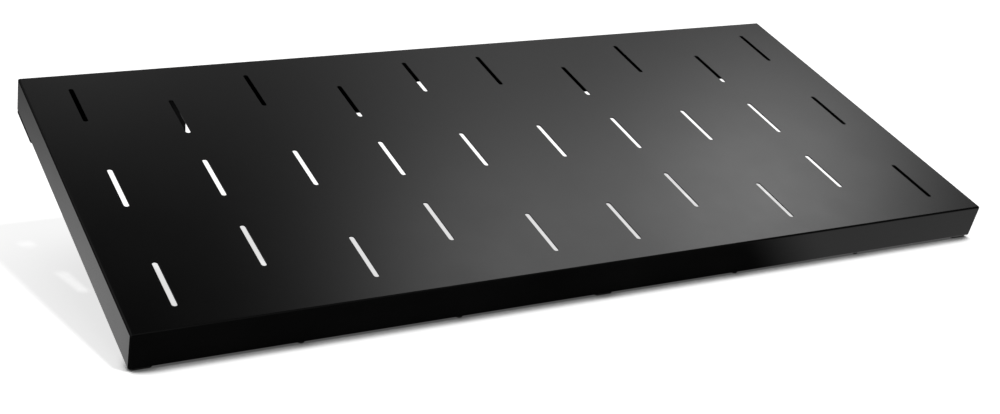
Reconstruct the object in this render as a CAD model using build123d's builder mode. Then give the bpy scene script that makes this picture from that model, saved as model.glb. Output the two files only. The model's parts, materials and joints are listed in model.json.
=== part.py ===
from build123d import *
from math import cos, radians, sin, sqrt
import os

# Tilted steel pedalboard: a folded, slotted deck on low front feet and two folding rear legs.
#
# The object stands on z = 0 with its low edge towards -Y. The origin is the centre of the
# bounding box, on the floor. Millimetres and degrees.

os.makedirs("parts", exist_ok=True)

# Deck: one folded sheet
BOARD_WIDTH = 1000.0
BOARD_DEPTH = 450.0
FLANGE_HEIGHT = 40.0
SHEET = 1.2
BEND_RADIUS = 2.0
LIP_WIDTH = 13.0
LIP_CORNER = 3.0
MITRE_GAP = 0.8
TILT = 21.0

# Slots: ten columns in three rows
SLOT_LENGTH = 68.0
SLOT_WIDTH = 5.5
COLUMN_PITCH = 100.0
COLUMN_COUNT = 10
ROW_OUTER = 160.0
ROW_INNER = 120.0
INNER_COLUMNS = (1, 3, 6, 8)

# Feet along the front edge
PAD_SIZE = (22.0, 11.0)
PAD_CORNER = 4.0
PAD_THICKNESS = 3.0
PAD_CHAMFER = 0.5
STUD_DIAMETER = 8.0
STUD_PITCH = BOARD_WIDTH / 6
STEM_DIAMETER = 4.0
BARB_DIAMETER = 6.0
BARB_HEIGHT = 2.0
BARB_TAPER = 30.0

# Stiffening ribs under the deck
RIB_HEIGHT = 15.0
RIB_CROWN = 20.0
RIB_WIDTH = 36.0
RIB_SHEET = 1.2
RIB_LENGTH = 420.0
RIB_X = {"left": -200.0, "centre": 0.0, "right": 200.0}

# Cover plates under the rear edge, flush with the flanges
PLATE_THICKNESS = 2.0
PLATE_DEPTH = 67.0
PLATE_GAP = 60.0
NOTCH_INWARDS = 18.0
NOTCH_OUTWARDS = 40.0
NOTCH_DEPTH = 49.0
NOTCH_CORNER = 6.0
PLATE_CORNER = 3.0
SCREW_DIAMETER = 4.0
SCREW_HEAD = 8.0
SCREW_CONE = 45.0
SCREW_SOCKET = 2.5
SOCKET_DEPTH = 1.0
SCREW_LENGTH = 7.0
PLATE_SCREW_X = (60.0, 180.0, 300.0, 420.0, 470.0)
NUT_DIAMETER = 8.0
NUT_HEIGHT = 3.0

# Folding legs
LEG_X = 332.0
PIVOT_Y = 187.0
PIVOT_DROP = 22.0
LEG_SPLAY = 8.0
KNUCKLE_WIDTH = 20.0
KNUCKLE_DROP = 16.0
LEG_DIAMETER = 22.0
TUBE_WALL = 1.5
SPIGOT_LENGTH = 30.0
CROSS_PIN_DIAMETER = 4.0
BOLT_DIAMETER = 8.0
BOLT_LENGTH = 40.0
BOLT_HEAD = 13.0
BOLT_HEAD_HEIGHT = 5.3
BUSH_DIAMETER = 11.0
WASHER_DIAMETER = 20.0
FRICTION_WASHER = 1.0
KNOB_WASHER = 1.6
EAR = 2.5
EAR_LENGTH = 36.0
EAR_CORNER = 9.0
STOP_DIAMETER = 6.0
STOP_DROP = 9.0
STOP_PROUD = 1.0
FOOT_DIAMETER = 26.0
FOOT_BASE = 28.0
FOOT_HEIGHT = 28.0
FOOT_FLOOR = 7.0
FOOT_EDGE = 1.0
KNOB_DIAMETER = 32.0
KNOB_LENGTH = 18.0
KNOB_LOBES = 6
KNOB_SCALLOP = 8.0
KNOB_EDGE = 2.0
INSERT_DIAMETER = 12.0
INSERT_WALL = 1.0
TIP_ROOM = 2.0

# Clearances
RUNNING = 0.05
SIDE_GAP = 0.1
STOP_GAP = 0.3

tilt_sin = sin(radians(TILT))
tilt_cos = cos(radians(TILT))

# Where the feet and the screws sit on the flat strip of the return lips
pad_y = -(BOARD_DEPTH / 2 - BEND_RADIUS - PAD_SIZE[1] / 2)
stud_y = -(BOARD_DEPTH / 2 - BEND_RADIUS - STUD_DIAMETER / 2)
lip_middle = (LIP_WIDTH + BEND_RADIUS) / 2

# The deck's plane: its middle line stands so that the pads' front edges touch z = 0
contact_y = BOARD_DEPTH / 2 - BEND_RADIUS - PAD_CHAMFER
contact_drop = FLANGE_HEIGHT + PAD_THICKNESS
deck_z = contact_y * tilt_sin + contact_drop * tilt_cos
bend_centre = BOARD_DEPTH / 2 - BEND_RADIUS
front_reach = bend_centre * tilt_cos - BEND_RADIUS * tilt_sin + BEND_RADIUS
plate_reach = BOARD_DEPTH / 2 * tilt_cos + (FLANGE_HEIGHT + PLATE_THICKNESS) * tilt_sin
deck_y = (front_reach - plate_reach) / 2
deck_plane = Plane(origin=(0, deck_y, deck_z), x_dir=(1, 0, 0), z_dir=(0, -tilt_sin, tilt_cos))
deck_up = Axis(deck_plane.origin, deck_plane.z_dir)
underside = deck_plane.offset(-SHEET)
lip_inside = deck_plane.offset(SHEET - FLANGE_HEIGHT)
lip_outside = deck_plane.offset(-FLANGE_HEIGHT)

column_x = [(i - (COLUMN_COUNT - 1) / 2) * COLUMN_PITCH for i in range(COLUMN_COUNT)]
SIDES = (("left", -1), ("right", 1))


def slot_places():
    """Centre of every slot: a middle row, and two rows that step in at the inner columns."""
    places = []
    for column, x in enumerate(column_x):
        reach = ROW_INNER if column in INNER_COLUMNS else ROW_OUTER
        places += [(x, -reach), (x, 0), (x, reach)]
    return places


def screw_places(side):
    """Screws of one rear plate, all on the rear lip."""
    rear_y = BOARD_DEPTH / 2 - lip_middle
    return [(side * x, rear_y) for x in PLATE_SCREW_X]


def pivot_of(side):
    """The point where one leg's pivot crosses the middle of that leg."""
    return deck_plane.from_local_coords(Vector(side * LEG_X, PIVOT_Y, -PIVOT_DROP))


def leg_plane(side):
    """Plane across one leg at its pivot: +Z up the leg, +X across the board."""
    splay = radians(LEG_SPLAY)
    return Plane(origin=pivot_of(side), x_dir=(1, 0, 0), z_dir=(0, -sin(splay), cos(splay)))


def pivot_plane(side, reach):
    """Plane square to one pivot, its +Z outwards, reach mm outside the middle of the leg."""
    along = pivot_of(side) + Vector(side * reach, 0, 0)
    return Plane(origin=along, x_dir=(0, side, 0), z_dir=(side, 0, 0))


# ---- Deck -------------------------------------------------------------------------------

with BuildPart(deck_plane) as deck_panel:
    Box(BOARD_WIDTH, BOARD_DEPTH, FLANGE_HEIGHT, align=(Align.CENTER, Align.CENTER, Align.MAX))
    fillet(deck_panel.edges(), radius=BEND_RADIUS)
    offset(amount=-SHEET, mode=Mode.SUBTRACT)
    with BuildSketch(lip_outside):
        RectangleRounded(BOARD_WIDTH - 2 * LIP_WIDTH, BOARD_DEPTH - 2 * LIP_WIDTH, LIP_CORNER)
    extrude(amount=SHEET, mode=Mode.SUBTRACT)
    # The lips are mitred at the corners, and each mitre ends in a round bend relief
    with BuildSketch(lip_outside):
        relief = BEND_RADIUS + SHEET
        mitre_end = LIP_WIDTH + LIP_CORNER
        mitre_middle = (relief + mitre_end) / 2
        for sx in (-1, 1):
            for sy in (-1, 1):
                corner = Vector(sx * BOARD_WIDTH / 2, sy * BOARD_DEPTH / 2)
                inwards = Vector(-sx, -sy)
                with Locations(corner + inwards * mitre_middle):
                    Rectangle(sqrt(2) * (mitre_end - relief), MITRE_GAP, rotation=45 * sx * sy)
                with Locations(corner + inwards * relief):
                    Circle(SHEET)
    extrude(amount=SHEET, mode=Mode.SUBTRACT)
    with BuildSketch(deck_plane):
        with Locations(*slot_places()):
            SlotOverall(SLOT_LENGTH, SLOT_WIDTH, rotation=90)
    extrude(amount=-SHEET, mode=Mode.SUBTRACT)
    with BuildSketch(lip_outside):
        with Locations(*[(k * STUD_PITCH, stud_y) for k in (-2, -1, 1, 2)]):
            Circle(STEM_DIAMETER / 2)
        with Locations(*screw_places(-1), *screw_places(1)):
            Circle(SCREW_DIAMETER / 2 + SIDE_GAP)
    extrude(amount=SHEET, mode=Mode.SUBTRACT)
deck_panel.part.label = "deck_panel"
export_step(deck_panel.part, "parts/deck_panel.step")

# Hat-section ribs, welded front to back between the columns of slots
for where, rib_x in RIB_X.items():
    rib_start = underside.from_local_coords(Vector(rib_x, -RIB_LENGTH / 2, 0))
    rib_plane = Plane(origin=rib_start, x_dir=(1, 0, 0), z_dir=(0, tilt_cos, tilt_sin))
    down = (Align.CENTER, Align.MIN)
    with BuildPart() as stiffener:
        with BuildSketch(rib_plane):
            Rectangle(RIB_CROWN, RIB_HEIGHT, align=down)
            Rectangle(RIB_WIDTH, RIB_SHEET, align=down)
            Rectangle(RIB_CROWN - 2 * RIB_SHEET, RIB_HEIGHT - RIB_SHEET, align=down, mode=Mode.SUBTRACT)
        extrude(amount=RIB_LENGTH)
        crown = stiffener.edges().filter_by(Axis(rib_start, (0, tilt_cos, tilt_sin)))
        fillet(crown.sort_by(Axis.Z)[:2], radius=RIB_SHEET)
    stiffener.part.label = f"stiffener_{where}"
    export_step(stiffener.part, f"parts/stiffener_{where}.step")

# ---- Front feet -------------------------------------------------------------------------

pad_x = BOARD_WIDTH / 2 - BEND_RADIUS - PAD_SIZE[0] / 2
for name, x in (("corner_pad_left", -pad_x), ("centre_pad", 0.0), ("corner_pad_right", pad_x)):
    with BuildPart() as pad:
        with BuildSketch(lip_outside):
            with Locations((x, pad_y)):
                RectangleRounded(*PAD_SIZE, PAD_CORNER)
        extrude(amount=-PAD_THICKNESS)
        chamfer(pad.faces().sort_by(deck_up)[0].edges(), length=PAD_CHAMFER)
    pad.part.label = name
    export_step(pad.part, f"parts/{name}.step")

# Push-in studs, with a stem through the lip and a barb above it
with BuildPart() as front_studs:
    places = [(k * STUD_PITCH, stud_y) for k in (-2, -1, 1, 2)]
    with BuildSketch(lip_outside):
        with Locations(*places):
            Circle(STUD_DIAMETER / 2)
    extrude(amount=-PAD_THICKNESS)
    chamfer(front_studs.faces().group_by(deck_up)[0].edges(), length=PAD_CHAMFER)
    with BuildSketch(lip_outside):
        with Locations(*places):
            Circle(STEM_DIAMETER / 2)
    extrude(amount=SHEET)
    with BuildSketch(lip_inside):
        with Locations(*places):
            Circle(BARB_DIAMETER / 2)
    extrude(amount=BARB_HEIGHT, taper=BARB_TAPER)
front_studs.part.label = "front_studs"
export_step(front_studs.part, "parts/front_studs.step")

# ---- Rear plates ------------------------------------------------------------------------

for where, side in SIDES:
    plate_width = BOARD_WIDTH / 2 - PLATE_GAP / 2
    plate_x = BOARD_WIDTH / 2 - plate_width / 2
    notch_width = NOTCH_INWARDS + NOTCH_OUTWARDS
    notch_x = LEG_X + (NOTCH_OUTWARDS - NOTCH_INWARDS) / 2
    plate_front = BOARD_DEPTH / 2 - PLATE_DEPTH
    with BuildPart() as rear_plate:
        with BuildSketch(lip_outside):
            with Locations((side * plate_x, plate_front + PLATE_DEPTH / 2)):
                RectangleRounded(plate_width, PLATE_DEPTH, PLATE_CORNER)
            with Locations((side * notch_x, plate_front)):
                RectangleRounded(notch_width, 2 * NOTCH_DEPTH, NOTCH_CORNER, mode=Mode.SUBTRACT)
        extrude(amount=-PLATE_THICKNESS)
        with Locations(lip_outside.offset(-PLATE_THICKNESS)):
            with Locations(*[(x, y, 0) for x, y in screw_places(side)]):
                with Locations(Rotation(180, 0, 0)):
                    CounterSinkHole(SCREW_DIAMETER / 2 + SIDE_GAP, SCREW_HEAD / 2 + SIDE_GAP)
    rear_plate.part.label = f"rear_plate_{where}"
    export_step(rear_plate.part, f"parts/rear_plate_{where}.step")

plate_bottom = lip_outside.offset(-PLATE_THICKNESS)
all_screws = screw_places(-1) + screw_places(1)

with BuildPart() as plate_screws:
    with BuildSketch(plate_bottom):
        with Locations(*all_screws):
            Circle(SCREW_HEAD / 2)
    extrude(amount=PLATE_THICKNESS, taper=SCREW_CONE)
    with BuildSketch(plate_bottom):
        with Locations(*all_screws):
            Circle(SCREW_DIAMETER / 2)
    extrude(amount=SCREW_LENGTH)
    with BuildSketch(plate_bottom):
        with Locations(*all_screws):
            RegularPolygon(SCREW_SOCKET / 2, 6, major_radius=False)
    extrude(amount=SOCKET_DEPTH, mode=Mode.SUBTRACT)
plate_screws.part.label = "plate_screws"
export_step(plate_screws.part, "parts/plate_screws.step")

with BuildPart() as plate_nuts:
    with BuildSketch(lip_inside):
        with Locations(*all_screws):
            Circle(NUT_DIAMETER / 2)
            Circle(SCREW_DIAMETER / 2 + RUNNING, mode=Mode.SUBTRACT)
    extrude(amount=NUT_HEIGHT)
    rims = plate_nuts.faces().group_by(deck_up)[-1].edges().group_by(SortBy.LENGTH)[-1]
    chamfer(rims, length=PAD_CHAMFER)
plate_nuts.part.label = "plate_nuts"
export_step(plate_nuts.part, "parts/plate_nuts.step")

# ---- Leg brackets, welded under the deck ------------------------------------------------

ear_gap = KNUCKLE_WIDTH + 2 * (FRICTION_WASHER + SIDE_GAP)
ear_outside = ear_gap / 2 + EAR

for where, side in SIDES:
    middle = leg_plane(side)
    stop_y = LEG_DIAMETER / 2 + STOP_GAP + STOP_DIAMETER / 2
    stop_at = middle.from_local_coords(Vector(0, stop_y, -STOP_DROP))
    stop_plane = Plane(origin=stop_at, x_dir=(0, side, 0), z_dir=(side, 0, 0))
    across = pivot_plane(side, 0)

    with BuildPart() as leg_bracket:
        with BuildSketch(underside):
            with Locations((side * LEG_X, PIVOT_Y)):
                Rectangle(2 * ear_outside, EAR_LENGTH)
        extrude(amount=-(FLANGE_HEIGHT - SHEET))
        along = Axis(deck_plane.origin, deck_plane.y_dir)
        corners = leg_bracket.edges().filter_by(Axis((0, 0, 0), (1, 0, 0))).group_by(deck_up)[0]
        fillet(corners, radius=EAR_CORNER)
        bends = leg_bracket.edges().filter_by(along).group_by(deck_up)[-1]
        fillet(bends, radius=EAR)
        with BuildSketch(underside.offset(-EAR)):
            with Locations((side * LEG_X, PIVOT_Y)):
                Rectangle(ear_gap, 2 * EAR_LENGTH)
        extrude(amount=-FLANGE_HEIGHT, mode=Mode.SUBTRACT)
        with BuildSketch(across):
            Circle(BOLT_DIAMETER / 2 + RUNNING)
        extrude(amount=2 * ear_outside, both=True, mode=Mode.SUBTRACT)
        with BuildSketch(stop_plane):
            Circle(STOP_DIAMETER / 2)
        extrude(amount=2 * ear_outside, both=True, mode=Mode.SUBTRACT)
    leg_bracket.part.label = f"leg_bracket_{where}"
    export_step(leg_bracket.part, f"parts/leg_bracket_{where}.step")

    with BuildPart() as stop_pin:
        with BuildSketch(stop_plane):
            Circle(STOP_DIAMETER / 2)
        extrude(amount=ear_outside + STOP_PROUD, both=True)
        chamfer(stop_pin.edges(), length=PAD_CHAMFER)
    stop_pin.part.label = f"stop_pin_{where}"
    export_step(stop_pin.part, f"parts/stop_pin_{where}.step")

    with BuildPart() as pivot_bolt:
        with BuildSketch(pivot_plane(side, -ear_outside)):
            RegularPolygon(BOLT_HEAD / 2, 6, major_radius=False)
        extrude(amount=-BOLT_HEAD_HEIGHT)
        with BuildSketch(pivot_plane(side, -ear_outside)):
            Circle(BOLT_DIAMETER / 2)
        extrude(amount=BOLT_LENGTH)
        tip = pivot_bolt.faces().sort_by(Axis.X)[-1 if side > 0 else 0]
        chamfer(tip.edges(), length=2 * PAD_CHAMFER)
    pivot_bolt.part.label = f"pivot_bolt_{where}"
    export_step(pivot_bolt.part, f"parts/pivot_bolt_{where}.step")

# ---- Folding legs -----------------------------------------------------------------------

for where, side in SIDES:
    middle = leg_plane(side)
    leg_length = middle.origin.Z / cos(radians(LEG_SPLAY))
    tube_end = leg_length - FOOT_FLOOR
    tube_top = middle.offset(-KNUCKLE_DROP)
    pin_drop = KNUCKLE_DROP + SPIGOT_LENGTH / 2
    across = pivot_plane(side, 0)
    pin_at = middle.from_local_coords(Vector(0, 0, -pin_drop))
    pin_plane = Plane(origin=pin_at, x_dir=(1, 0, 0), z_dir=middle.y_dir)

    with BuildPart() as knuckle:
        with BuildSketch(middle):
            Rectangle(KNUCKLE_WIDTH, LEG_DIAMETER)
        extrude(amount=-KNUCKLE_DROP)
        with BuildSketch(across):
            Circle(LEG_DIAMETER / 2)
        extrude(amount=KNUCKLE_WIDTH / 2, both=True)
        with BuildSketch(tube_top):
            Circle(LEG_DIAMETER / 2 - TUBE_WALL - RUNNING)
        extrude(amount=-SPIGOT_LENGTH)
        with BuildSketch(across):
            Circle(BUSH_DIAMETER / 2)
        extrude(amount=KNUCKLE_WIDTH, both=True, mode=Mode.SUBTRACT)
        with BuildSketch(pin_plane):
            Circle(CROSS_PIN_DIAMETER / 2)
        extrude(amount=LEG_DIAMETER, both=True, mode=Mode.SUBTRACT)
    knuckle.part.label = f"leg_knuckle_{where}"
    export_step(knuckle.part, f"parts/leg_knuckle_{where}.step")

    with BuildPart() as pivot_bush:
        with BuildSketch(across):
            Circle(BUSH_DIAMETER / 2)
            Circle(BOLT_DIAMETER / 2 + RUNNING, mode=Mode.SUBTRACT)
        extrude(amount=KNUCKLE_WIDTH / 2, both=True)
    pivot_bush.part.label = f"pivot_bush_{where}"
    export_step(pivot_bush.part, f"parts/pivot_bush_{where}.step")

    with BuildPart() as friction_washers:
        for reach in (-KNUCKLE_WIDTH / 2 - FRICTION_WASHER, KNUCKLE_WIDTH / 2):
            with BuildSketch(pivot_plane(side, reach)):
                Circle(WASHER_DIAMETER / 2)
                Circle(BOLT_DIAMETER / 2 + RUNNING, mode=Mode.SUBTRACT)
            extrude(amount=FRICTION_WASHER)
    friction_washers.part.label = f"friction_washers_{where}"
    export_step(friction_washers.part, f"parts/friction_washers_{where}.step")

    with BuildPart() as leg_tube:
        with BuildSketch(tube_top):
            Circle(LEG_DIAMETER / 2)
            Circle(LEG_DIAMETER / 2 - TUBE_WALL, mode=Mode.SUBTRACT)
        extrude(amount=KNUCKLE_DROP - tube_end)
        with BuildSketch(pin_plane):
            Circle(CROSS_PIN_DIAMETER / 2)
        extrude(amount=LEG_DIAMETER, both=True, mode=Mode.SUBTRACT)
    leg_tube.part.label = f"leg_tube_{where}"
    export_step(leg_tube.part, f"parts/leg_tube_{where}.step")

    with BuildPart() as knuckle_pin:
        with BuildSketch(pin_plane):
            Circle(CROSS_PIN_DIAMETER / 2)
        extrude(amount=LEG_DIAMETER / 2, both=True)
    knuckle_pin.part.label = f"knuckle_pin_{where}"
    export_step(knuckle_pin.part, f"parts/knuckle_pin_{where}.step")

    # The rubber foot is a cup over the tube, flared and cut level with the floor
    with BuildPart() as foot_cap:
        with BuildSketch(middle.offset(FOOT_HEIGHT - leg_length)):
            Circle(FOOT_DIAMETER / 2)
        extrude(amount=-FOOT_HEIGHT / 2)
        with BuildSketch(middle.offset(FOOT_HEIGHT / 2 - leg_length)):
            Circle(FOOT_DIAMETER / 2)
        with BuildSketch(middle.offset(-leg_length - FOOT_FLOOR)):
            Circle(FOOT_BASE / 2)
        loft()
        split(bisect_by=Plane.XY, keep=Keep.TOP)
        with BuildSketch(middle.offset(-tube_end)):
            Circle(LEG_DIAMETER / 2)
        extrude(amount=FOOT_HEIGHT, mode=Mode.SUBTRACT)
        fillet(foot_cap.edges().sort_by(Axis.Z)[0], radius=FOOT_EDGE)
    foot_cap.part.label = f"foot_cap_{where}"
    export_step(foot_cap.part, f"parts/foot_cap_{where}.step")

# ---- Clamp knobs ------------------------------------------------------------------------

insert_depth = BOLT_LENGTH - 2 * ear_outside - KNOB_WASHER + TIP_ROOM

for where, side in SIDES:
    knob_base = pivot_plane(side, ear_outside + KNOB_WASHER)

    with BuildPart() as knob_washer:
        with BuildSketch(pivot_plane(side, ear_outside + SIDE_GAP)):
            Circle(WASHER_DIAMETER / 2)
            Circle(BOLT_DIAMETER / 2 + RUNNING, mode=Mode.SUBTRACT)
        extrude(amount=KNOB_WASHER - SIDE_GAP)
    knob_washer.part.label = f"knob_washer_{where}"
    export_step(knob_washer.part, f"parts/knob_washer_{where}.step")

    with BuildPart() as knob_insert:
        with BuildSketch(knob_base):
            Circle(INSERT_DIAMETER / 2)
        extrude(amount=insert_depth)
        with BuildSketch(knob_base):
            Circle(BOLT_DIAMETER / 2 + RUNNING)
        extrude(amount=insert_depth - INSERT_WALL, mode=Mode.SUBTRACT)
    knob_insert.part.label = f"knob_insert_{where}"
    export_step(knob_insert.part, f"parts/knob_insert_{where}.step")

    with BuildPart() as clamp_knob:
        with BuildSketch(knob_base.offset(KNOB_LENGTH / 4)):
            Circle(KNOB_DIAMETER / 2)
            with PolarLocations(KNOB_DIAMETER / 2 + KNOB_SCALLOP / 8, KNOB_LOBES):
                Circle(KNOB_SCALLOP / 2, mode=Mode.SUBTRACT)
        extrude(amount=KNOB_LENGTH * 3 / 4)
        rim = clamp_knob.faces().sort_by(Axis.X)[-1 if side > 0 else 0]
        fillet(rim.edges(), radius=KNOB_EDGE)
        with BuildSketch(knob_base):
            Circle(WASHER_DIAMETER / 2)
        extrude(amount=KNOB_LENGTH / 2)
        with BuildSketch(knob_base):
            Circle(INSERT_DIAMETER / 2)
        extrude(amount=insert_depth, mode=Mode.SUBTRACT)
    clamp_knob.part.label = f"clamp_knob_{where}"
    export_step(clamp_knob.part, f"parts/clamp_knob_{where}.step")
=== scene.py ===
"""Looks for the tilted steel pedalboard: materials, small details, studio and camera.

Everything is in metres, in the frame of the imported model: +Y runs from the low front edge to the
raised rear edge, and z = 0 is the floor.
"""
import bmesh
import bpy
import json
import math
from mathutils import Matrix, Vector


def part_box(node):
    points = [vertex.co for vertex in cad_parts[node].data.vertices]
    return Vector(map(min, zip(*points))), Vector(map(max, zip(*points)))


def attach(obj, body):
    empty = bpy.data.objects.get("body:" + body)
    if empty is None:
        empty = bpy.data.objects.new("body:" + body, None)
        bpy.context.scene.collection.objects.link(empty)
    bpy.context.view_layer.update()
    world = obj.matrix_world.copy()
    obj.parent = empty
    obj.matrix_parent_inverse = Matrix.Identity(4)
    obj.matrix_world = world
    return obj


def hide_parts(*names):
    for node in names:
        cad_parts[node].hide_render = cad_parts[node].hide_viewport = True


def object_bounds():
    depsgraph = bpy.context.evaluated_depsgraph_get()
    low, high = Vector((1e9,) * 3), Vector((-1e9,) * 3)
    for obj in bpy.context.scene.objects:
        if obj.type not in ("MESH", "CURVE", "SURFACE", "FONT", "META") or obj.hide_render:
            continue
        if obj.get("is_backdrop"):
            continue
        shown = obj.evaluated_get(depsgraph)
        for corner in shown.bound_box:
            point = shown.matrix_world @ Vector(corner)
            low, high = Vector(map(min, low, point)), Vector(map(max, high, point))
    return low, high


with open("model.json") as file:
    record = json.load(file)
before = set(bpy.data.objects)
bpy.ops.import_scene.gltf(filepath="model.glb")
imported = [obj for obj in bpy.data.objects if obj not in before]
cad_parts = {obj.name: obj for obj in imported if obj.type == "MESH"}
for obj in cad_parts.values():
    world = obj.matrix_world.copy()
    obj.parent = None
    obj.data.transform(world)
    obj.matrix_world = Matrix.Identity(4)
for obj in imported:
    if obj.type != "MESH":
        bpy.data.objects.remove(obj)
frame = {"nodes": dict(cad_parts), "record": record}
cad_low, cad_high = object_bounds()
nodes = frame["nodes"]
record = frame["record"]
mounts = {mount["name"]: mount for mount in record["mounts"]}
joints = {joint["name"]: joint for joint in record["behaviour"]["joints"]}
SIDES = ("left", "right")


# ---- Node helpers -----------------------------------------------------------------------

# A Mix node has a set of sockets for each kind of value, so they are found by number
MIX_FLOAT = {"a": 2, "b": 3, "result": 0}
MIX_COLOUR = {"a": 6, "b": 7, "result": 2}


class Graph:
    """A node tree, with short calls for the nodes that the materials and the world share."""

    def __init__(self, tree, coords):
        self.tree = tree
        self.coords = self.node("ShaderNodeTexCoord").outputs[coords]

    def node(self, kind, **settings):
        made = self.tree.nodes.new(kind)
        for key, value in settings.items():
            setattr(made, key, value)
        return made

    def link(self, source, target):
        self.tree.links.new(source, target)

    def spread(self, source, start, end, low=0.0, high=1.0, shape="LINEAR"):
        """source, spread from start..end to low..high, and held at both ends."""
        made = self.node("ShaderNodeMapRange", interpolation_type=shape)
        made.inputs["From Min"].default_value = start
        made.inputs["From Max"].default_value = end
        made.inputs["To Min"].default_value = low
        made.inputs["To Max"].default_value = high
        self.link(source, made.inputs["Value"])
        return made.outputs["Result"]

    def product(self, first, second):
        """first times second."""
        made = self.node("ShaderNodeMath", operation="MULTIPLY")
        self.link(first, made.inputs[0])
        self.link(second, made.inputs[1])
        return made.outputs[0]


class Shader(Graph):
    """A material with a Principled shader."""

    def __init__(self, name):
        self.material = bpy.data.materials.new(name)
        self.material.use_nodes = True
        super().__init__(self.material.node_tree, "Object")
        self.bsdf = self.tree.nodes["Principled BSDF"]

    def set(self, **values):
        """Sets the shader's sockets, whose names have underscores for spaces."""
        for key, value in values.items():
            self.bsdf.inputs[key.replace("_", " ")].default_value = value

    def noise(self, scale, detail=3.0, roughness=0.5, stretch=None):
        """Soft noise from 0 to 1, mostly between 0.3 and 0.7."""
        coords = self.coords
        if stretch:
            mapping = self.node("ShaderNodeMapping")
            mapping.inputs["Scale"].default_value = stretch
            self.link(coords, mapping.inputs["Vector"])
            coords = mapping.outputs["Vector"]
        made = self.node("ShaderNodeTexNoise")
        made.inputs["Scale"].default_value = scale
        made.inputs["Detail"].default_value = detail
        made.inputs["Roughness"].default_value = roughness
        self.link(coords, made.inputs["Vector"])
        return made.outputs["Fac"]

    def colour(self, source, low, high, start=0.3, end=0.7):
        """The base colour, from low to high as source goes from start to end."""
        made = self.node("ShaderNodeMix", data_type="RGBA")
        self.link(self.spread(source, start, end), made.inputs["Factor"])
        made.inputs[MIX_COLOUR["a"]].default_value = (*low, 1.0)
        made.inputs[MIX_COLOUR["b"]].default_value = (*high, 1.0)
        self.link(made.outputs[MIX_COLOUR["result"]], self.bsdf.inputs["Base Color"])

    def rough(self, source, low, high):
        """The roughness, from low to high as source goes from 0.3 to 0.7."""
        self.link(self.spread(source, 0.3, 0.7, low, high), self.bsdf.inputs["Roughness"])

    def bump(self, height, depth, strength, under=None):
        """A bump depth metres high, on top of the bump under it."""
        made = self.node("ShaderNodeBump")
        made.inputs["Strength"].default_value = strength
        made.inputs["Distance"].default_value = depth
        self.link(height, made.inputs["Height"])
        if under is not None:
            self.link(under, made.inputs["Normal"])
        return made.outputs["Normal"]


# ---- Finishes ---------------------------------------------------------------------------


def powder_coat(name, black, rough, ior):
    """Satin black powder coat: fine orange peel, slow changes of gloss, faint cloudiness."""
    s = Shader(name)
    s.colour(s.noise(scale=9.0, detail=4.0), (black,) * 3, (black * 1.5,) * 3)
    s.rough(s.noise(scale=14.0, detail=5.0, roughness=0.6), rough, rough + 0.03)
    peel = s.bump(s.noise(scale=900.0, detail=2.0), depth=0.00002, strength=0.3)
    grain = s.bump(s.noise(scale=3500.0, detail=1.0), depth=0.000006, strength=0.3, under=peel)
    s.link(grain, s.bsdf.inputs["Normal"])
    s.set(IOR=ior)
    return s.material


def rubber(name):
    """Black moulded rubber, dusty and matt."""
    s = Shader(name)
    s.colour(s.noise(scale=120.0, detail=5.0), (0.008,) * 3, (0.016,) * 3)
    s.rough(s.noise(scale=300.0), 0.72, 0.88)
    skin = s.bump(s.noise(scale=1800.0), depth=0.00006, strength=0.6)
    s.link(skin, s.bsdf.inputs["Normal"])
    return s.material


def plastic(name):
    """Black plastic with a spark-eroded texture."""
    s = Shader(name)
    s.colour(s.noise(scale=60.0), (0.011,) * 3, (0.015,) * 3)
    s.rough(s.noise(scale=200.0), 0.42, 0.52)
    texture = s.bump(s.noise(scale=4000.0, detail=2.0), depth=0.00004, strength=0.7)
    s.link(texture, s.bsdf.inputs["Normal"])
    return s.material


def nylon(name):
    """Undyed nylon, slightly yellow."""
    s = Shader(name)
    s.colour(s.noise(scale=80.0), (0.62, 0.6, 0.54), (0.7, 0.68, 0.62))
    s.rough(s.noise(scale=150.0), 0.4, 0.55)
    skin = s.bump(s.noise(scale=900.0), depth=0.00003, strength=0.5)
    s.link(skin, s.bsdf.inputs["Normal"])
    return s.material


def metal(name, dark, light, rough):
    """Bare or plated metal, with fine turning lines and a mottled plating."""
    s = Shader(name)
    s.colour(s.noise(scale=70.0, detail=5.0), dark, light)
    s.rough(s.noise(scale=160.0, detail=4.0), *rough)
    lines = s.bump(s.noise(scale=600.0, stretch=(6.0, 1.0, 1.0)), depth=0.00002, strength=0.5)
    s.link(lines, s.bsdf.inputs["Normal"])
    s.set(Metallic=1.0)
    return s.material


finishes = {
    "deck_steel": powder_coat("deck_powder_coat", 0.002, 0.13, 1.3),
    "frame_steel": powder_coat("frame_powder_coat", 0.005, 0.6, 1.25),
    "leg_steel": powder_coat("leg_powder_coat", 0.01, 0.35, 1.4),
    "pad_rubber": rubber("pad_rubber"),
    "foot_rubber": rubber("foot_rubber"),
    "black_screws": metal("black_zinc", (0.03,) * 3, (0.06,) * 3, (0.3, 0.45)),
    "zinc_steel": metal("bright_zinc", (0.5, 0.51, 0.52), (0.62, 0.62, 0.62), (0.25, 0.4)),
    "bush_bronze": metal("sintered_bronze", (0.35, 0.22, 0.1), (0.5, 0.33, 0.16), (0.4, 0.55)),
    "washer_nylon": nylon("natural_nylon"),
    "knob_plastic": plastic("knob_plastic"),
    "insert_brass": metal("turned_brass", (0.6, 0.43, 0.16), (0.72, 0.53, 0.22), (0.25, 0.35)),
}

for part in record["subparts"]:
    mesh = nodes[part["node"]].data
    mesh.materials.clear()
    mesh.materials.append(finishes[part["material_slot"]])


# ---- Welds and rubber feet --------------------------------------------------------------

deck_point = Vector(mounts["deck_top"]["pos_m"])
deck_up = Vector(mounts["deck_top"]["axis"]).normalized()
deck_along = Vector((0.0, deck_up.z, -deck_up.y))


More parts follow.
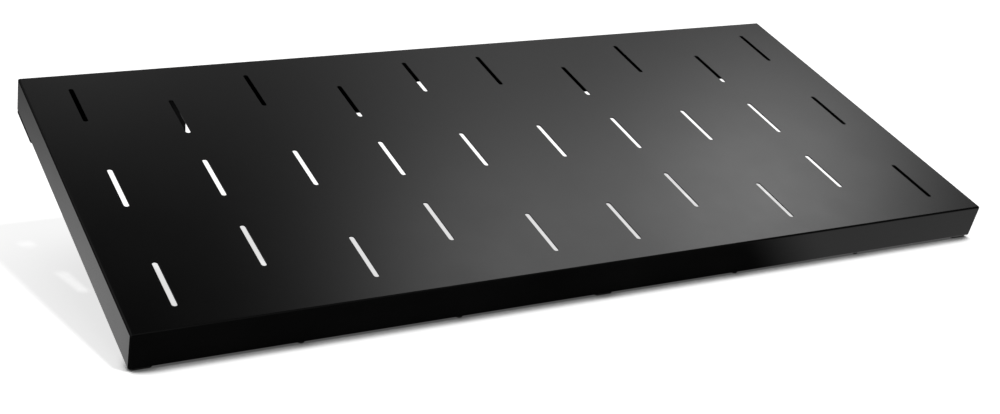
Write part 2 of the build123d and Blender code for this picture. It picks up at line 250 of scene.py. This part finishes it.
def add_piece(name, bm, body, slot_name):
    """Makes the mesh a piece of the board that moves with one body."""
    bmesh.ops.recalc_face_normals(bm, faces=bm.faces)
    made = bpy.data.meshes.new(name)
    bm.to_mesh(made)
    bm.free()
    made.shade_smooth()
    made.set_sharp_from_angle(angle=math.radians(40))
    made.materials.append(finishes[slot_name])
    piece = bpy.data.objects.new(name, made)
    bpy.context.scene.collection.objects.link(piece)
    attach(piece, body)
    return piece


# A bead's middle line lies a little under the sheet, so that it bites into both steels
SHEET = 0.0012
BEAD_RADIUS = 0.0016
BEAD_RIPPLE = 0.0003
BEAD_SINK = 0.0008
BEAD_SIDES = 10
BEAD_ROUNDING = 12
RIPPLE_PITCH = 0.0025
RIPPLE_STEPS = 5


def add_bead(bm, middle, half_length):
    """A rippled weld bead along the deck. BEAD_ROUNDING closes its ends: the higher, the blunter."""
    steps = round(2 * half_length / RIPPLE_PITCH) * RIPPLE_STEPS
    rings = []
    for i in range(1, steps):
        place = 2 * i / steps - 1
        swell = BEAD_RIPPLE * abs(math.sin(math.pi * i / RIPPLE_STEPS))
        radius = (BEAD_RADIUS + swell) * (1 - abs(place) ** BEAD_ROUNDING) ** 0.5
        centre = middle + deck_along * (half_length * place)
        ring = []
        for k in range(BEAD_SIDES):
            turn = 2 * math.pi * k / BEAD_SIDES
            offset = Vector((math.cos(turn), 0.0, 0.0)) + deck_up * math.sin(turn)
            ring.append(bm.verts.new(centre + offset * radius))
        rings.append(ring)
    for lower, upper in zip(rings, rings[1:]):
        for k in range(BEAD_SIDES):
            after = (k + 1) % BEAD_SIDES
            bm.faces.new((lower[k], lower[after], upper[after], upper[k]))
    bm.faces.new(rings[0])
    bm.faces.new(rings[-1])


def under_deck(x, y):
    """A point of a weld's middle line: x across the board, and y along the deck from its mount."""
    point = deck_point + deck_along * y - deck_up * (SHEET + BEAD_SINK)
    return Vector((x, point.y, point.z))


# Stitch welds along both edges of each rib
RIB_STITCHES = 5
HALF_STITCH = 0.014
for rib in ("stiffener_left", "stiffener_centre", "stiffener_right"):
    rib_low, rib_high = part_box(rib)
    front = (rib_low - deck_point).y / deck_along.y
    pitch = (rib_high.y - rib_low.y) / deck_along.y / RIB_STITCHES
    beads = bmesh.new()
    for x in (rib_low.x, rib_high.x):
        for i in range(RIB_STITCHES):
            add_bead(beads, under_deck(x, front + (i + 0.5) * pitch), HALF_STITCH)
    add_piece(f"{rib}_welds", beads, "deck", "frame_steel")

# One weld along each side of a bracket's base
HALF_BRACKET_WELD = 0.015
for where in SIDES:
    low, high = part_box(f"leg_bracket_{where}")
    pivot = Vector(joints[f"leg_{where}_fold"]["pos_m"])
    beads = bmesh.new()
    for x in (low.x, high.x):
        add_bead(beads, under_deck(x, (pivot - deck_point).dot(deck_along)), HALF_BRACKET_WELD)
    add_piece(f"leg_bracket_{where}_welds", beads, "deck", "frame_steel")

# Rubber feet: a cup over the tube, with grip grooves, cut level with the floor
CUP_TOP = 0.028
CUP_FLOOR = 0.007
CUP_RADIUS = 0.013
CUP_SHOULDER = 0.0134
CUP_FLARE = 0.0137
CUP_BORE = 0.011
CUP_EDGE = 0.0008
CUP_BELOW = 0.004
CUP_STEPS = 72
WELD_DISTANCE = 0.00001
GROOVES = (0.009, 0.0135, 0.018, 0.0225)
GROOVE_WIDTH = 0.0018
GROOVE_DEPTH = 0.0007


def cup_profile():
    """Radius and height of the cup's outline, from the middle below to the middle inside."""
    outline = [(0.0, -CUP_BELOW), (CUP_FLARE, -CUP_BELOW), (CUP_SHOULDER, CUP_FLOOR)]
    for groove in GROOVES:
        outline.append((CUP_RADIUS, groove - GROOVE_WIDTH / 2))
        outline.append((CUP_RADIUS - GROOVE_DEPTH, groove - GROOVE_WIDTH / 4))
        outline.append((CUP_RADIUS - GROOVE_DEPTH, groove + GROOVE_WIDTH / 4))
        outline.append((CUP_RADIUS, groove + GROOVE_WIDTH / 2))
    outline += [(CUP_RADIUS, CUP_TOP - CUP_EDGE), (CUP_RADIUS - CUP_EDGE, CUP_TOP)]
    return outline + [(CUP_BORE, CUP_TOP), (CUP_BORE, CUP_FLOOR), (0.0, CUP_FLOOR)]


for where in SIDES:
    foot = Vector(mounts[f"foot_{where}_floor"]["pos_m"])
    leg_up = (Vector(joints[f"leg_{where}_fold"]["pos_m"]) - foot).normalized()
    cup = bmesh.new()
    points = [cup.verts.new((radius, 0.0, height)) for radius, height in cup_profile()]
    edges = [cup.edges.new(pair) for pair in zip(points, points[1:])]
    bmesh.ops.spin(
        cup, geom=points + edges, axis=(0, 0, 1), cent=(0, 0, 0), angle=2 * math.pi, steps=CUP_STEPS
    )
    bmesh.ops.remove_doubles(cup, verts=cup.verts, dist=WELD_DISTANCE)
    lean = Vector((0, 0, 1)).rotation_difference(leg_up).to_matrix().to_4x4()
    bmesh.ops.transform(cup, matrix=Matrix.Translation(foot) @ lean, verts=cup.verts)
    everything = cup.verts[:] + cup.edges[:] + cup.faces[:]
    cut = bmesh.ops.bisect_plane(
        cup, geom=everything, plane_co=(0, 0, 0), plane_no=(0, 0, -1), clear_outer=True
    )
    rim = [part for part in cut["geom_cut"] if isinstance(part, bmesh.types.BMEdge)]
    bmesh.ops.holes_fill(cup, edges=rim, sides=0)
    cap = add_piece(f"ribbed_foot_{where}", cup, f"leg_{where}", "foot_rubber")
    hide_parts(f"foot_cap_{where}")


# ---- Studio -----------------------------------------------------------------------------


def towards(azimuth, elevation):
    """The direction of azimuth degrees from +Y towards +X, and elevation degrees up."""
    a = math.radians(azimuth)
    e = math.radians(elevation)
    return Vector((math.sin(a) * math.cos(e), math.cos(a) * math.cos(e), math.sin(e)))


board_middle = (cad_low + cad_high) / 2


def flat_sheet(name, low_x, high_x, low_y, high_y, z):
    """A rectangle for the studio, facing up, with a shader of its own."""
    corners = [(low_x, low_y, z), (high_x, low_y, z), (high_x, high_y, z), (low_x, high_y, z)]
    made = bpy.data.meshes.new(name)
    made.from_pydata(corners, [], [(0, 1, 2, 3)])
    sheet = bpy.data.objects.new(name, made)
    bpy.context.scene.collection.objects.link(sheet)
    paint = Shader(name)
    paint.set(Emission_Color=(1.0, 1.0, 1.0, 1.0), Specular_IOR_Level=0.0, Roughness=0.9)
    made.materials.append(paint.material)
    sheet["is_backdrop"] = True
    return sheet, paint


# The floor is a light table: it glows by itself, and painted shade dims its glow where something
# stands over it. A short reach paints the contact shadow, the dark line along the front edge, which
# also darkens the floor's colour; a long one paints the soft shade under the board.
FLOOR_REACH = 7.0
FLOOR_GLOW = 0.92
FLOOR_WHITE = 0.9
floor, paint = flat_sheet("floor", -FLOOR_REACH, FLOOR_REACH, -FLOOR_REACH, FLOOR_REACH, 0.0)
floor.visible_glossy = False


def painted_occlusion_shade(reach, closed, clear, dim, bright):
    """How far the floor is open to the air, used as painted shade: dim where it's closed and bright
    where it's clear.
    """
    seen = paint.node("ShaderNodeAmbientOcclusion", samples=16)
    seen.inputs["Distance"].default_value = reach
    return paint.spread(seen.outputs["AO"], closed, clear, dim, bright, "SMOOTHSTEP")


# Painted shade: the short reach gives the painted contact shadow, the long reach the painted shade
# under the board
painted_contact_shadow = painted_occlusion_shade(reach=0.03, closed=0.35, clear=0.69, dim=0.1, bright=1.0)
shade = painted_occlusion_shade(reach=0.3, closed=0.4, clear=1.0, dim=0.82 * FLOOR_GLOW, bright=FLOOR_GLOW)
# Painted contact shadow in the colour: the floor goes to black where the board stands close above it
paint.colour(painted_contact_shadow, (0.0,) * 3, (FLOOR_WHITE,) * 3, 0.0, 1.0)
# The glow is dimmed by both painted shades, the contact shadow and the shade under the board
paint.link(paint.product(painted_contact_shadow, shade), paint.bsdf.inputs["Emission Strength"])

# A small card in front of the right half of the front edge, which shows only in glossy paint.
CARD_GLOW = 0.7
CARD_FADE = (0.185, 0.3)
CARD_DEPTH = 0.15
CARD_OVERHANG = 0.12
CARD_LIFT = 0.001
card_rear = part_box("centre_pad")[0].y
card_right = cad_high.x + CARD_OVERHANG
card, paint = flat_sheet(
    "edge_card", CARD_FADE[0], card_right, card_rear - CARD_DEPTH, card_rear, CARD_LIFT
)
card.visible_camera = False
card.visible_diffuse = False
card.visible_shadow = False
paint.set(Base_Color=(0.0, 0.0, 0.0, 1.0))
across = paint.node("ShaderNodeSeparateXYZ")
paint.link(paint.coords, across.inputs[0])
fade = paint.spread(across.outputs["X"], *CARD_FADE, 0.0, CARD_GLOW, "SMOOTHSTEP")
paint.link(fade, paint.bsdf.inputs["Emission Strength"])

# The air is plain white light, and what shows in glossy surfaces is a ring of soft lamps:
# (azimuth, elevation, sharpness, strength). The first five light what the camera sees, and the
# others the sides that are turned away from it.
AMBIENT = 0.03
SOFT_LAMPS = [
    (58, 44, 242, 3.7),
    (49, 51.5, 242, 2.6),
    (39, 43, 68, 0.61),
    (19, 47.5, 242, 0.52),
    (-14, -18.5, 100, 0.78),
    (225, 45, 8, 0.6),
    (180, 50, 6, 0.35),
    (300, 40, 10, 0.35),
    (260, 12, 8, 0.35),
    (100, 12, 25, 0.45),
    (-10, 62, 80, 0.7),
    (-8, 24, 60, 0.6),
    (45, 14, 60, 0.6),
    (225, -15, 10, 0.35),
]
world = bpy.data.worlds.new("studio_air")
bpy.context.scene.world = world
world.use_nodes = True
world.cycles.sampling_method = "NONE"
air = Graph(world.node_tree, "Generated")
strength = None
for azimuth, elevation, sharpness, power in SOFT_LAMPS:
    facing = air.node("ShaderNodeVectorMath", operation="DOT_PRODUCT")
    air.link(air.coords, facing.inputs[0])
    facing.inputs[1].default_value = towards(azimuth, elevation)
    falloff = air.node("ShaderNodeMath", operation="MULTIPLY_ADD")
    air.link(facing.outputs["Value"], falloff.inputs[0])
    falloff.inputs[1].default_value = sharpness
    falloff.inputs[2].default_value = -sharpness
    lobe = air.node("ShaderNodeMath", operation="EXPONENT")
    air.link(falloff.outputs[0], lobe.inputs[0])
    total = air.node("ShaderNodeMath", operation="MULTIPLY_ADD")
    air.link(lobe.outputs[0], total.inputs[0])
    total.inputs[1].default_value = power
    total.inputs[2].default_value = 0.0
    if strength is not None:
        air.link(strength, total.inputs[2])
    strength = total.outputs[0]
path = air.node("ShaderNodeLightPath")
chosen = air.node("ShaderNodeMix", data_type="FLOAT")
air.link(path.outputs["Is Glossy Ray"], chosen.inputs["Factor"])
seen = air.spread(path.outputs["Is Camera Ray"], 0.0, 1.0, AMBIENT, 1.0)
air.link(seen, chosen.inputs[MIX_FLOAT["a"]])
air.link(strength, chosen.inputs[MIX_FLOAT["b"]])
background = world.node_tree.nodes["Background"]
background.inputs["Color"].default_value = (1.0, 1.0, 1.0, 1.0)
air.link(chosen.outputs[MIX_FLOAT["result"]], background.inputs["Strength"])

# One distant key light casts the board's shadow back and to the left
KEY_FROM = towards(162, 51)
KEY_ENERGY = 1.1
KEY_ANGLE = 5
key_light = bpy.data.lights.new("key_light", "SUN")
key_light.energy = KEY_ENERGY
key_light.angle = math.radians(KEY_ANGLE)
key = bpy.data.objects.new("key_light", key_light)
bpy.context.scene.collection.objects.link(key)
key.rotation_euler = KEY_FROM.to_track_quat("Z", "Y").to_euler()
key.visible_glossy = False


# ---- Camera -----------------------------------------------------------------------------

CAMERA_AIM = board_middle + Vector((-0.0905, 0.0415, -0.0167))
CAMERA_AWAY = towards(180 + 26.14, 13.56)
CAMERA_DISTANCE = 1.7224
CAMERA_LENS = 54.99
CAMERA_SHIFT = (0.0789, -0.0316)
camera = bpy.data.objects.new("camera", bpy.data.cameras.new("camera"))
bpy.context.scene.collection.objects.link(camera)
camera.location = CAMERA_AIM + CAMERA_AWAY * CAMERA_DISTANCE
camera.rotation_euler = CAMERA_AWAY.to_track_quat("Z", "Y").to_euler()
camera.data.lens = CAMERA_LENS
camera.data.shift_x, camera.data.shift_y = CAMERA_SHIFT
bpy.context.scene.camera = camera
bpy.context.scene.view_settings.view_transform = "Standard"

low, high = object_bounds()
